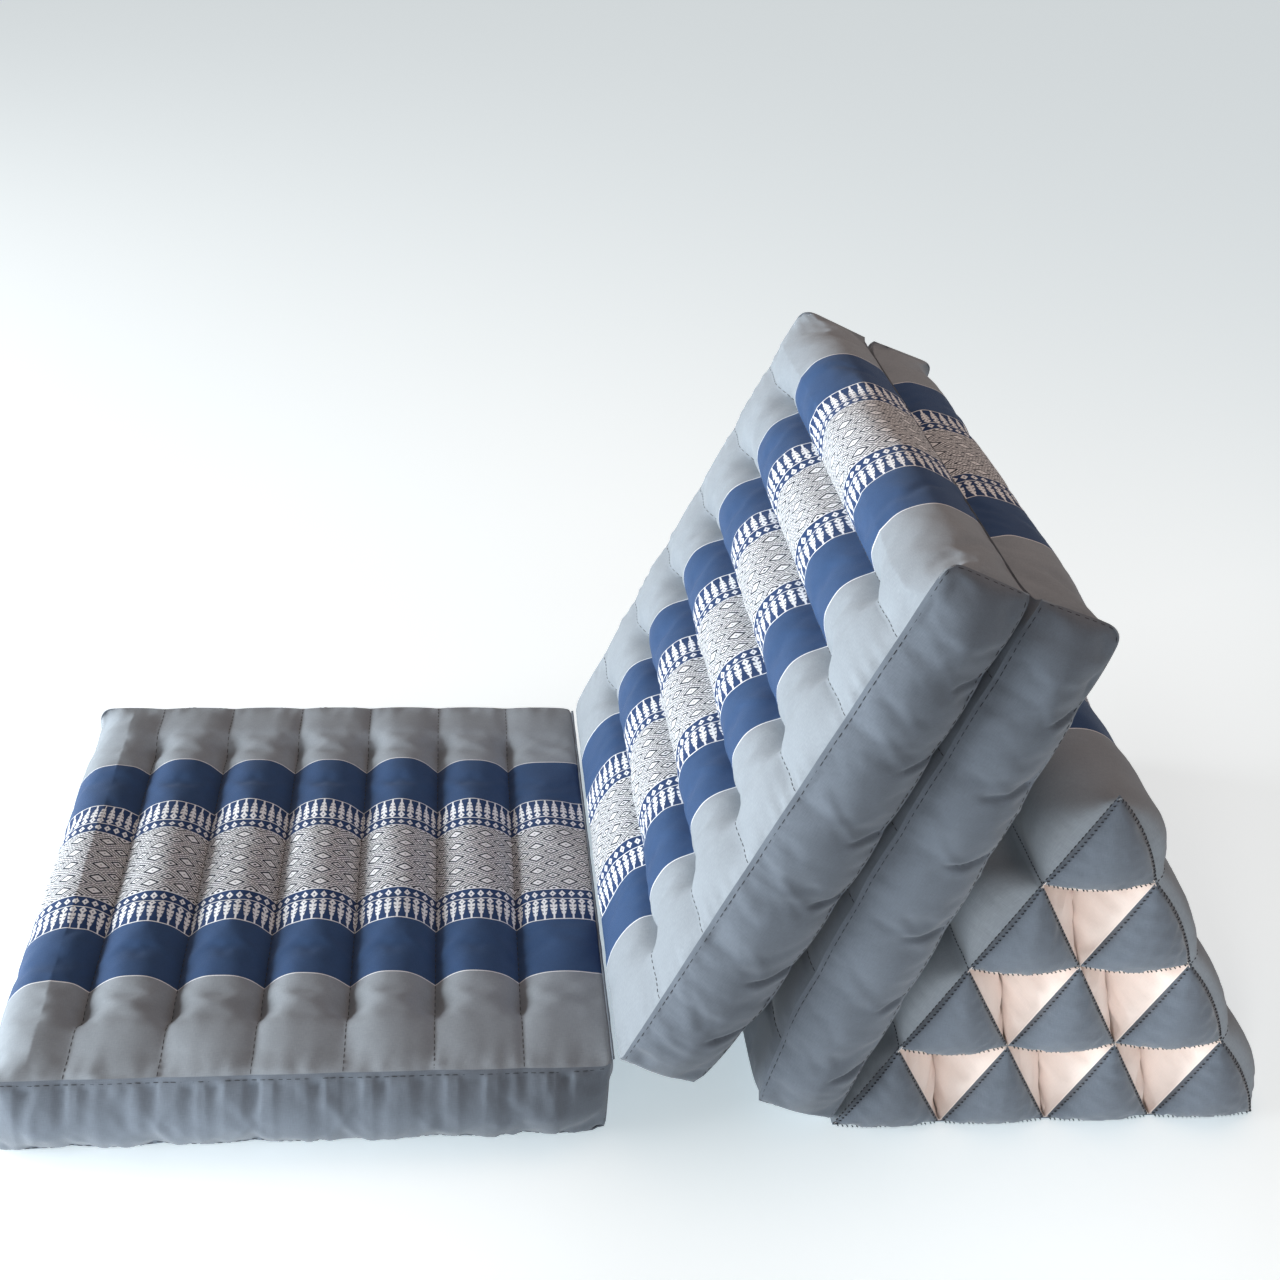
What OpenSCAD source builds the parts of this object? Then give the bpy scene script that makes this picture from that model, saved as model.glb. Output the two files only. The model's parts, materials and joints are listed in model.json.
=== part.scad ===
// Fold-out triangle cushion: three channelled mattress panels and a triangular back-rest wedge.
// X runs along the mattress, Y along the hinges, Z up. It stands half folded: the seat panel lies flat,
// the back panel leans away from it, and the prop panel is folded behind it and leans on the wedge.
// Millimetres. The origin is on the floor, below the middle of the whole object.

/* [Overall] */
// Width of the mattress and the wedge, along the hinges
mat_w = 530; // [450:10:600]
// Length of one panel, from hinge to hinge
panel_l = 485; // [440:5:520]
// Thickness of one panel, from its plain face to the crests of its rolls
panel_t = 74; // [60:2:84]
// Angle between the floor and the prop panel that leans on the wedge, in degrees
prop_lean = 71; // [69:0.5:76]

/* [Panels] */
// Depth of the stitched grooves between two rolls
groove_depth = 12; // [6:1:18]
// Rounding drop at the ends of a panel, below the hinge line
edge_drop = 3; // [3:0.5:5]

/* [Wedge] */
// Length of the wedge's base
wedge_base = 355; // [300:5:380]
// Height of the wedge at its end faces
wedge_h = 320; // [280:5:340]
// How far the wedge's rolls swell out of its slopes
wedge_swell = 24; // [10:2:28]

/* [Cloth] */
// Thickness of the covers, with their calico backing
cloth_t = 1; // [0.8:0.1:1.4]
// Thickness of the inner walls and of the wedge's cell linings
lining_t = 0.6; // [0.4:0.1:0.8]
// Room left between neighbouring pieces
room = 0.25; // [0.2:0.05:0.3]
// Radius of a rolled hinge seam
seam_r = 1.5; // [1:0.1:1.6]

/* [Hidden] */
rolls = 7;            // filled rolls in one panel
rows = 4;             // rows of cells in the wedge: 1, 2, 3 and 4 cells
end_gap = 0.5;        // from a panel's short end to its hinge plane
curve_steps = 8;      // straight steps in one roll's curve
wedge_hinge_z = 2;    // height of the wedge's hinge line, so that its seam clears the floor
front_swell_rate = 0.14;  // swell of the front slope per millimetre from the hinge, where the prop presses it
slope_start = 4;      // where the slopes' cover begins, measured from the wedge's lower edges

// --- panel outline, in the panel's own X and Z; X = 0 and X = panel_l are its hinge planes ---
roll_pitch = (panel_l - 2 * end_gap) / rolls;
function roll_x(i) = end_gap + i * roll_pitch;
// Drop of the patterned face at joint i between rolls; joints 0 and rolls are the panel's ends
function joint_drop(i) = (i == 0 || i == rolls) ? edge_drop : groove_depth;
// Height of the patterned face on roll i, at share u of its width
function face_z(i, u) = panel_t - joint_drop(u < 0.5 ? i : i + 1) * pow(2 * u - 1, 2);
// Points along the face of roll i, left to right, pushed in by depth
function roll_face(i, depth, u0 = 0, u1 = 1) =
    [for (k = [0:curve_steps])
        let (u = u0 + (u1 - u0) * k / curve_steps)
        [roll_x(i) + u * roll_pitch, face_z(i, u) - depth]];
function reversed(list) = [for (k = [len(list) - 1:-1:0]) list[k]];
// Share of a roll's width that lies beside its wall or its end
wall_share = (lining_t / 2 + room) / roll_pitch;
end_share = (cloth_t + room) / roll_pitch;
function first_share(i) = i == 0 ? end_share : wall_share;
function last_share(i) = 1 - (i == rolls - 1 ? end_share : wall_share);
inner_depth = cloth_t + room;
body_w = mat_w - 2 * inner_depth;

// --- how the panels stand: hinge lines as [x, z], with the wedge's lower front edge at x = 0 ---
wedge_hinge = [0, wedge_hinge_z];
top_hinge = wedge_hinge + [panel_l * cos(prop_lean) - panel_t * sin(prop_lean),
                           panel_l * sin(prop_lean) + panel_t * cos(prop_lean)];
// The back panel's lean brings its lower patterned edge level with the crests of the seat
back_lean = atan2(panel_t, panel_l) + asin((top_hinge[1] - panel_t) / norm([panel_l, panel_t]));
seat_hinge = [top_hinge[0] - panel_l * cos(back_lean) - panel_t * sin(back_lean), panel_t];

// --- wedge outline, lower front edge at [0, 0] ---
slope_l = norm([wedge_base / 2, wedge_h]);
slope_a = atan2(wedge_h, wedge_base / 2);
row_l = slope_l / rows;
row_h = wedge_h / rows;
cell_b = wedge_base / rows;
function row_swell(row, front) =
    front ? min(wedge_swell, front_swell_rate * (rows - row - 0.5) * row_l) : wedge_swell;
// Swell at distance d up a slope
function swell_at(d, front) =
    let (k = min(floor(d / row_l), rows - 1), u = d / row_l - k)
    4 * u * (1 - u) * row_swell(rows - 1 - k, front);
function slope_point(d, depth, front) =
    let (s = swell_at(d, front) - depth,
         x = d * cos(slope_a) - s * sin(slope_a))
    [front ? x : wedge_base - x, d * sin(slope_a) + s * cos(slope_a)];
function slope_path(depth, d_end, front) =
    [for (k = [0:rows * curve_steps])
        slope_point(slope_start + (d_end - slope_start) * k / (rows * curve_steps), depth, front)];
// Corners of cell c in row row, shrunk so that its sides move in by depth
function cell_corner(row, c, n) =
    [wedge_base / 2 - (row + 1) * cell_b / 2 + (c + [0, 1, 0.5][n]) * cell_b,
     wedge_h - (row + [1, 1, 0][n]) * row_h];
cell_inradius = cell_b * row_h / (cell_b + 2 * row_l);
function cell_point(row, c, n, depth) =
    let (middle = cell_corner(row, c, 0) + [cell_b / 2, cell_inradius])
    middle + (cell_corner(row, c, n) - middle) * (1 - depth / cell_inradius);
// Points from corner a up to corner b, bulging to the right of that way by swell
function swollen_side(a, b, swell) =
    let (d = b - a, left = [-d[1], d[0]] / norm(d))
    [for (k = [0:curve_steps - 1])
        let (u = k / curve_steps)
        a + d * u - left * 4 * u * (1 - u) * swell];
function cell_outline(row, c, depth) =
    let (a = cell_point(row, c, 0, depth),
         b = cell_point(row, c, 1, depth),
         top = cell_point(row, c, 2, depth))
    concat([a],
           swollen_side(b, top, c == row ? row_swell(row, false) : 0),
           swollen_side(top, a, c == 0 ? row_swell(row, true) : 0));
lining_depth = cloth_t + 2 * room;
fill_depth = lining_depth + lining_t + room;
cells = [for (row = [0:rows - 1]) for (c = [0:row]) [row, c]];

// --- the whole is centred over the origin ---
rear_x = max([for (p = slope_path(0, slope_l, false)) p[0]]);
front_x = seat_hinge[0] - panel_l + end_gap;
centre_x = (front_x + rear_x) / 2;

patterned = [0.30, 0.38, 0.50];
plain = [0.42, 0.46, 0.51];
pale = [0.85, 0.74, 0.68];
kapok = [0.90, 0.86, 0.76];
thread = [0.12, 0.13, 0.16];

PANELS = ["seat", "back", "prop"];

// Extrudes an outline drawn in X and Z by width along Y, centred on y = 0
module along_y(width) rotate([90, 0, 0]) linear_extrude(height = width, center = true) children();
module slab_at(y, thickness) translate([0, y, 0]) along_y(thickness) children();

// Puts a panel, drawn flat with its patterned face up, where it stands
module stand(panel) {
    place = panel == "seat" ? [seat_hinge[0] - panel_l, 0, 0]
          : panel == "back" ? [seat_hinge[0] + panel_t * sin(back_lean),
                               panel_t - panel_t * cos(back_lean),
                               back_lean]
          : [top_hinge[0], top_hinge[1], 180 + prop_lean];
    translate([place[0] - centre_x, 0, place[1]]) rotate([0, -place[2], 0]) children();
}

module centred() translate([-centre_x, 0, 0]) children();

// Inside of a panel's cover: what the gussets close at both sides
module panel_inside() {
    face = [for (i = [0:rolls - 1])
               for (p = roll_face(i, inner_depth, i == 0 ? end_share : 0,
                                  i == rolls - 1 ? 1 - end_share : 1)) p];
    inner_end = end_gap + inner_depth;
    polygon(concat([[inner_end + edge_drop, inner_depth], [inner_end, inner_depth + edge_drop]],
                   face,
                   [[panel_l - inner_end, inner_depth + edge_drop],
                    [panel_l - inner_end - edge_drop, inner_depth]]));
}

// One cloth over the rolls and both short ends, turned under at the plain face
module patterned_cover() {
    outer = [for (i = [0:rolls - 1]) for (p = roll_face(i, 0)) p];
    inner = [for (i = [0:rolls - 1])
                for (p = roll_face(i, cloth_t, i == 0 ? cloth_t / roll_pitch : 0,
                                   i == rolls - 1 ? 1 - cloth_t / roll_pitch : 1)) p];
    far_end = panel_l - end_gap;
    color(patterned) along_y(mat_w) polygon(concat(
        [[end_gap + edge_drop, 0], [end_gap, edge_drop]],
        outer,
        [[far_end, edge_drop], [far_end - edge_drop, 0], [far_end - edge_drop, cloth_t],
         [far_end - cloth_t, edge_drop + cloth_t / 2]],
        reversed(inner),
        [[end_gap + cloth_t, edge_drop + cloth_t / 2], [end_gap + edge_drop, cloth_t]]));
}

module plain_cover() {
    start = end_gap + edge_drop + room;
    color(plain) translate([start, -mat_w / 2, 0]) cube([panel_l - 2 * start, mat_w, cloth_t]);
}

module gusset(side) {
    color(plain) slab_at(side * (mat_w - cloth_t) / 2, cloth_t) panel_inside();
}

// Six cloth walls between the rolls
module partitions() {
    color(pale) for (i = [1:rolls - 1])
        translate([roll_x(i) - lining_t / 2, -body_w / 2, inner_depth])
            cube([lining_t, body_w, panel_t - groove_depth - 2 * inner_depth]);
}

// Kapok of roll i, counted from 0
module roll_fill(i) {
    u0 = first_share(i);
    u1 = last_share(i);
    low = inner_depth + room;
    turn = edge_drop + room;
    left = roll_x(i) + u0 * roll_pitch;
    right = roll_x(i) + u1 * roll_pitch;
    color(kapok) along_y(body_w) polygon(concat(
        i == 0 ? [[left + turn, low], [left, low + turn]] : [[left, low]],
        roll_face(i, inner_depth + room, u0, u1),
        i == rolls - 1 ? [[right, low + turn], [right - turn, low]] : [[right, low]]));
}

// One cloth over both slopes of the wedge and its ridge
module wedge_patterned_cover() {
    ridge_d = slope_l - cloth_t * tan(slope_a);
    color(patterned) centred() along_y(mat_w) polygon(concat(
        slope_path(0, slope_l, true),
        reversed(slope_path(0, slope_l, false)),
        slope_path(cloth_t, ridge_d, false),
        reversed(slope_path(cloth_t, ridge_d, true))));
}

module wedge_base_cover() {
    color(plain) centred() translate([slope_start, -mat_w / 2, 0])
        cube([wedge_base - 2 * slope_start, mat_w, cloth_t]);
}

// Ten open cloth tubes, one round each fill
module wedge_cell_linings() {
    color(pale) centred() for (cell = cells) along_y(body_w) difference() {
        polygon(cell_outline(cell[0], cell[1], lining_depth));
        polygon(cell_outline(cell[0], cell[1], lining_depth + lining_t));
    }
}

// Ten triangles that close the tubes at one end
module wedge_caps(side) {
    color(plain) centred() for (cell = cells)
        slab_at(side * (mat_w - cloth_t) / 2, cloth_t) polygon(cell_outline(cell[0], cell[1], lining_depth));
}

module wedge_fill(k) {
    cell = cells[k];
    color(kapok) centred() along_y(body_w) polygon(cell_outline(cell[0], cell[1], fill_depth));
}

// Rolled seam on a hinge line
module hinge_seam(at) {
    color(thread) centred() translate([at[0], 0, at[1]]) rotate([90, 0, 0])
        cylinder(h = mat_w, r = seam_r, center = true, $fn = 24);
}

for (p = PANELS) {
    stand(p) patterned_cover();
    stand(p) plain_cover();
    stand(p) gusset(-1);
    stand(p) gusset(1);
    stand(p) partitions();
    for (i = [1:rolls])
        stand(p) roll_fill(i - 1);
}
wedge_patterned_cover();
wedge_base_cover();
wedge_cell_linings();
wedge_caps(-1);  // wedge_near_caps
wedge_caps(1);  // wedge_far_caps
for (i = [1:len(cells)])
    wedge_fill(i - 1);
hinge_seam(seat_hinge);  // seat_hinge_seam
hinge_seam(top_hinge);  // top_hinge_seam
hinge_seam(wedge_hinge);  // wedge_hinge_seam
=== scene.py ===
"""Fold-out triangle cushion: three channelled mattress panels and a triangular wedge of ten stuffed cells.

Every cloth is its own piece. Panel coordinates: x along the panel, y along the hinges, z from the plain
face (0) up to the patterned face. All lengths are metres.
"""

import json
import math

import bpy
import numpy as np
from mathutils import Matrix, Vector

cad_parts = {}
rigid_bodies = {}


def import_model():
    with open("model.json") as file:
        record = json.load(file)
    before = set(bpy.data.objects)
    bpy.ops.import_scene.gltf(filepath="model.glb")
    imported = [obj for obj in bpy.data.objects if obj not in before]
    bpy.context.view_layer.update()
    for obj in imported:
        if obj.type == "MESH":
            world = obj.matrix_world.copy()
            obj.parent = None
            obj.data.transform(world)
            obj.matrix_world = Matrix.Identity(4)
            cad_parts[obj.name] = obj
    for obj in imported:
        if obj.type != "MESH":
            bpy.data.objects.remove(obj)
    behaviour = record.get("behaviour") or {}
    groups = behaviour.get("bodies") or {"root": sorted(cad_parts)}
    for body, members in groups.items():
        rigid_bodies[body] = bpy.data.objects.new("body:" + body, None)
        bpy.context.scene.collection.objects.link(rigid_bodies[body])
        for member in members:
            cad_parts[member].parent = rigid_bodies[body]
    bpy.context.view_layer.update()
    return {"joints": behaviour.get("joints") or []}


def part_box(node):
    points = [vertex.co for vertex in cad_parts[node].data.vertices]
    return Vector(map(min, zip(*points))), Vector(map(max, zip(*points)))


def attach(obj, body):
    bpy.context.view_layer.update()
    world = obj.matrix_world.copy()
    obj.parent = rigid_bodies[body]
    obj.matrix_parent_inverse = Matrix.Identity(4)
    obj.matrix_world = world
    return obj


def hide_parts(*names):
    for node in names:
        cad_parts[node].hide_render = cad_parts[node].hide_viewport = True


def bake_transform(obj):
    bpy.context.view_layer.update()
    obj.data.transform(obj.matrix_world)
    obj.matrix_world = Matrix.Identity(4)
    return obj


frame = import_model()

MM = 0.001
HINGE = {j["name"]: np.array(j["pos_m"])[[0, 2]] for j in frame["joints"]}

# --- sizes of a panel ---
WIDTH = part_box("seat_patterned_cover")[1].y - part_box("seat_patterned_cover")[0].y
HALF = WIDTH / 2
LENGTH = 0.485                    # one panel, hinge to hinge
THICK = HINGE["seat_to_back"][1]  # the upper hinge line's height over the plain face
CREST_Z = 80 * MM                 # top of a roll before it is inflated
GROOVE_Z = 62 * MM                # bottom of a groove
SEAM_Z = 70 * MM                  # the side seam under the patterned face
SEAM_LOW = 2 * MM                 # the side seam over the plain face
END_GAP = 0.5 * MM
END_DIP = 1.5 * MM                # how far the plain face stands off its plane at its ends
CORNER_IN = 3 * MM                # the corner seams stand this far inside the end's plane
LOW_CORNER_IN = 1 * MM            # and their corners beside the plain face
GUSSET_PUFF = 20 * MM
PLAIN_PUFF = 10.5 * MM            # how far the plain faces of back and prop swell towards each other
CLOTH = 1.1 * MM
ROLLS = 7
JOINTS = END_GAP + (LENGTH - 2 * END_GAP) / ROLLS * np.arange(ROLLS + 1)

# --- mesh steps ---
PER_ROLL = 12                     # across one roll
ACROSS = 92                       # along y
UP = 12                           # from the plain face to the patterned one
FRAMES = 20                       # of the simulation
EVEN = np.linspace(-1, 1, ACROSS + 1)
Y = HALF * (0.8 * EVEN + 0.2 * np.sin(math.pi / 2 * EVEN))  # closer together at the sides
FROM_SIDE = HALF - np.abs(Y)


# --- small tools ---
def waves(seed, count, shortest, longest):
    """A smooth random field of two coordinates, about -1 to 1, made of sine waves."""
    rng = np.random.default_rng(seed)
    turn, phase = rng.uniform(0, 2 * math.pi, (2, count))
    k = 2 * math.pi / np.exp(rng.uniform(math.log(shortest), math.log(longest), count))
    return lambda a, b: sum(np.sin(k[n] * (a * math.cos(turn[n]) + b * math.sin(turn[n])) + phase[n])
                            for n in range(count)) / math.sqrt(count)


def smoothstep(x, low, high):
    t = np.clip((x - low) / (high - low), 0, 1)
    return t * t * (3 - 2 * t)


def gauss(x, width):
    return np.exp(-(x / width) ** 2)


def between(low, high, share):
    """From low at share 0 to high at share 1."""
    return low * (1 - share) + high * share


def shoulder(distance, reach):
    """0 at a seam, rising steeply and rounding off to 1 at reach from it."""
    return np.sin(math.pi / 2 * np.clip(distance / reach, 0, 1)) ** 0.8


def quarter_round(distance, radius):
    """0 at a seam, rising at a right angle to 1 at radius from it, as the end of a tight pillow does."""
    t = np.clip(distance / radius, 0, 1)
    return np.sqrt(1 - (1 - t) ** 2)


def unit(vectors):
    return vectors / np.maximum(np.linalg.norm(vectors, axis=1, keepdims=True), 1e-12)


def run_along(line):
    """The length along a line at each of its points."""
    return np.concatenate([[0], np.cumsum(np.linalg.norm(np.diff(line, axis=0), axis=1))])


def on_line(at, run, values):
    """Values that are known at the lengths run, at other lengths."""
    return np.stack([np.interp(at, run, column) for column in values.T], axis=1)


def grid_faces(ids, flip=False):
    """Quads over a two-dimensional array of vertex numbers."""
    quads = np.stack([ids[:-1, :-1], ids[1:, :-1], ids[1:, 1:], ids[:-1, 1:]], axis=-1).reshape(-1, 4)
    return quads[:, ::-1] if flip else quads


def tube_faces(rings, sides):
    """Quads of a tube whose points come ring by ring."""
    ids = np.arange(rings * sides).reshape(rings, sides)
    return grid_faces(np.concatenate([ids, ids[:, :1]], axis=1))


def joined(parts):
    """Meshes of points, faces and uv as one."""
    points, faces, uv = zip(*parts)
    first = np.cumsum([0] + [len(p) for p in points])
    return np.concatenate(points), np.concatenate([f + n for f, n in zip(faces, first)]), np.concatenate(uv)


def vertex_normals(points, faces):
    out = np.zeros_like(points)
    a, b, c, d = (points[faces[:, k]] for k in (0, 1, 2, -1))
    n = np.cross(c - a, d - b)
    for k in range(faces.shape[1]):
        np.add.at(out, faces[:, k], n)
    return unit(out)


def thickened(points, faces, uv, depth):
    """A sheet of quads or triangles as a closed shell: its underside lies depth below it."""
    n = len(points)
    inner = points - vertex_normals(points, faces) * depth
    ring = np.concatenate([np.stack([faces[:, k], np.roll(faces, -1, axis=1)[:, k]], axis=1)
                           for k in range(faces.shape[1])])
    code, back = ring[:, 0] * n + ring[:, 1], ring[:, 1] * n + ring[:, 0]
    rim = ring[~np.isin(code, back)]
    rim = np.stack([rim[:, 1], rim[:, 0], rim[:, 0] + n, rim[:, 1] + n], axis=1)
    return (np.concatenate([points, inner]),
            faces.tolist() + (faces[:, ::-1] + n).tolist() + rim.tolist(),
            np.concatenate([uv, uv]))


def read(items, key, width=1, kind=np.int32):
    """One property of all of a mesh's points, edges or loops, in rows of width."""
    flat = np.empty(len(items) * width, kind)
    items.foreach_get(key, flat)
    return flat.reshape(-1, width)


def set_all(target, **values):
    for key, value in values.items():
        setattr(target, key, value)


def new_object(name, data):
    obj = bpy.data.objects.new(name, data)
    bpy.context.scene.collection.objects.link(obj)
    return obj


def new_mesh_object(name, points, faces, uv=None):
    mesh = bpy.data.meshes.new(name)
    mesh.from_pydata(np.asarray(points).tolist(), [], faces if isinstance(faces, list) else faces.tolist())
    if uv is not None:
        loops = read(mesh.loops, "vertex_index")[:, 0]
        mesh.uv_layers.new(name="cloth").data.foreach_set("uv", uv[loops].astype(np.float32).ravel())
    mesh.shade_smooth()
    return new_object(name, mesh)


def evaluated(obj):
    """Points, quads and one uv per point of an object with its modifiers applied; the object is removed."""
    bpy.context.view_layer.update()
    mesh = bpy.data.meshes.new_from_object(obj.evaluated_get(bpy.context.evaluated_depsgraph_get()))
    points = read(mesh.vertices, "co", 3, np.float32).astype(float)
    loops = read(mesh.loops, "vertex_index")[:, 0]
    uv = np.zeros((len(points), 2))
    if mesh.uv_layers:
        uv[loops] = read(mesh.uv_layers[0].data, "uv", 2, np.float32)
    bpy.data.objects.remove(obj)
    bpy.data.meshes.remove(mesh)
    return points, loops.reshape(-1, 4), uv


def subdivided(points, faces, uv, levels, folds):
    """A sheet of quads, smoothed finer. Its own points come first in the result. Folds are rows of points
    that stay sharp."""
    obj = new_mesh_object("subdividing", points, faces, uv)
    if len(folds):
        mesh, n = obj.data, len(points)
        pairs = np.sort(np.concatenate([np.stack([f[:-1], f[1:]], axis=1) for f in folds]), axis=1) @ (n, 1)
        edges = np.sort(read(mesh.edges, "vertices", 2), axis=1).astype(np.int64) @ (n, 1)
        mesh.attributes.new("crease_edge", "FLOAT", "EDGE").data.foreach_set(
            "value", np.isin(edges, pairs).astype(np.float32) * 0.85)
    modifier = obj.modifiers.new("subdivision", "SUBSURF")
    set_all(modifier, levels=levels, render_levels=levels, uv_smooth="NONE", boundary_smooth="PRESERVE_CORNERS")
    return evaluated(obj)


def inflated(points, faces, pins, cap):
    """The closed mesh after a cloth simulation under inner pressure, moved by no more than cap."""
    obj = new_mesh_object("inflating", points, faces)
    obj.vertex_groups.new(name="pins").add(np.flatnonzero(pins).tolist(), 1.0, "REPLACE")
    modifier = obj.modifiers.new("cloth", "CLOTH")
    set_all(modifier.settings, quality=5, mass=0.25, tension_stiffness=12, compression_stiffness=12,
            shear_stiffness=12, bending_stiffness=0.2, use_pressure=True, uniform_pressure_force=4,
            shrink_min=-0.02, shrink_max=-0.02, vertex_group_mass="pins")
    modifier.settings.effector_weights.gravity = 0
    modifier.collision_settings.use_collision = False
    modifier.point_cache.frame_start, modifier.point_cache.frame_end = 1, FRAMES
    for f in range(1, FRAMES + 1):
        bpy.context.scene.frame_set(f)
    moved = evaluated(obj)[0]
    bpy.context.scene.frame_set(1)
    step = moved - points
    size = np.linalg.norm(step, axis=1, keepdims=True)
    print("simulated", len(points), "points, largest move", round(float(size.max()), 4))
    return points + step * np.minimum(1, cap / np.maximum(size, 1e-9))


# --- materials ---
def feed(tree, socket, x):
    """Feeds a socket from a field or another socket, or sets it to a number or a colour."""
    x = x.socket if isinstance(x, Field) else x
    if isinstance(x, bpy.types.NodeSocket):
        tree.links.new(x, socket)
    else:
        socket.default_value = (*x, 1) if isinstance(x, tuple) else x


def feed_all(tree, node, **inputs):
    """Feeds a node's inputs by name, with _ for a space."""
    for name, x in inputs.items():
        feed(tree, node.inputs[name.replace("_", " ")], x)
    return node


def add_node(tree, kind, **inputs):
    return feed_all(tree, tree.nodes.new("ShaderNode" + kind), **inputs)


class Field:
    """A number at each place of a shader."""

    def __init__(self, tree, socket):
        self.tree, self.socket = tree, socket

    def math(self, operation, *others, clamp=False):
        node = add_node(self.tree, "Math")
        node.operation, node.use_clamp = operation, clamp
        for k, x in enumerate((self, *others)):
            feed(self.tree, node.inputs[k], x)
        return Field(self.tree, node.outputs[0])

    def __add__(self, x): return self.math("ADD", x)
    def __sub__(self, x): return self.math("SUBTRACT", x)
    def __mul__(self, x): return self.math("MULTIPLY", x)
    def __truediv__(self, x): return self.math("DIVIDE", x)
    def __abs__(self): return self.math("ABSOLUTE")
    def lower(self, x): return self.math("MINIMUM", x)
    def higher(self, x): return self.math("MAXIMUM", x)
    def from_repeat(self, period): return self.math("PINGPONG", period / 2)
    def inverse(self): return self.math("MULTIPLY_ADD", -1.0, 1.0)

    def under(self, edge, soft):
        """1 where the field is under edge, 0 above it, over a soft step."""
        return (self * (-1 / soft)).math("ADD", edge / soft + 0.5, clamp=True)

    def within(self, low, high, soft):
        return self.under(high, soft) * self.under(low, soft).inverse()


def noise(tree, a, b, per_a, per_b):
    """Noise of two fields, with grains per_a and per_b long."""
    place = add_node(tree, "CombineXYZ", X=a * (1 / per_a), Y=b * (1 / per_b)).outputs[0]
    return Field(tree, add_node(tree, "TexNoise", Vector=place, Scale=1.0, Detail=3.0).outputs["Fac"])


def mixed(tree, factor, a, b):
    """Colour a where factor is 0, b where it is 1; a and b are colours or sockets."""
    node = add_node(tree, "Mix", Factor=factor)
    node.data_type = "RGBA"
    feed(tree, node.inputs[6], a)
    feed(tree, node.inputs[7], b)
    return node.outputs[2]


def scaled_colour(tree, colour, factor):
    """A colour multiplied by a field."""
    node = add_node(tree, "VectorMath")
    node.operation = "SCALE"
    feed(tree, node.inputs[0], colour)
    return feed_all(tree, node, Scale=factor).outputs[0]


def relief(tree, height, strength, distance):
    return add_node(tree, "Bump", Strength=strength, Distance=distance, Height=height).outputs[0]


def new_material(name):
    material = bpy.data.materials.new(name)
    material.use_nodes = True
    return material, material.node_tree, material.node_tree.nodes["Principled BSDF"]


def tinted(colour, factor):
    return tuple(c * factor for c in colour)


def linear(r, g, b):
    """A display colour 0-255 as the light that a shader wants."""
    return tuple(((c / 255 + 0.055) / 1.055) ** 2.4 if c > 10 else c / 255 / 12.92 for c in (r, g, b))


GREY = linear(143, 150, 158)
GREY_DARK = linear(106, 114, 125)
BLUE = linear(53, 78, 116)
NAVY = linear(42, 64, 104)
INK = linear(34, 42, 58)
CREAM = linear(228, 230, 234)
PALE = linear(250, 236, 229)
THREAD = linear(18, 20, 28)
YARN = 0.55 * MM                  # from one yarn to the next
SLUB_LONG, SLUB_WIDE = 6 * MM, 0.6 * MM


def cloth_material(name, colours, sheen=0.3, spread=0.15):
    """Woven cotton. colours(tree, u, v) gives a colour, as a socket or a tuple, and a field for where it is
    glossy, or None. Spread is how much the yarns differ."""
    material, tree, shader = new_material(name)
    place = add_node(tree, "UVMap")
    place.uv_map = "cloth"
    split = add_node(tree, "SeparateXYZ", Vector=place.outputs[0])
    u, v = (Field(tree, split.outputs[k]) for k in (0, 1))
    colour, gloss = colours(tree, u, v)
    # Slubs: yarns that run along and across the cloth, some lighter and some darker
    along = noise(tree, u, v, SLUB_LONG, SLUB_WIDE)
    across = noise(tree, u, v, SLUB_WIDE, SLUB_LONG - 1 * MM)
    cloudy = noise(tree, u, v, 60 * MM, 45 * MM)
    shade = (along + across - 1.0) * (2 * spread) + (cloudy - 0.5) * 0.22 + 1.0
    if isinstance(colour, tuple):
        colour = mixed(tree, cloudy, tinted(colour, 0.93), tinted(colour, 1.07))
    rough = (across - 0.5) * 0.1 + 0.9
    if gloss is not None:
        rough = rough - gloss * 0.3
    # Plain weave: over and under, with yarns of uneven thickness
    weave = (u * (math.pi / YARN)).math("SINE") * (v * (math.pi / YARN)).math("SINE")
    feed_all(tree, shader, Base_Color=scaled_colour(tree, colour, shade), Roughness=rough, Sheen_Weight=sheen,
             Sheen_Roughness=0.5, Specular_IOR_Level=0.06,
             Normal=relief(tree, weave * 0.5 + along + across, 0.7, 0.10 * MM))
    return material


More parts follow.
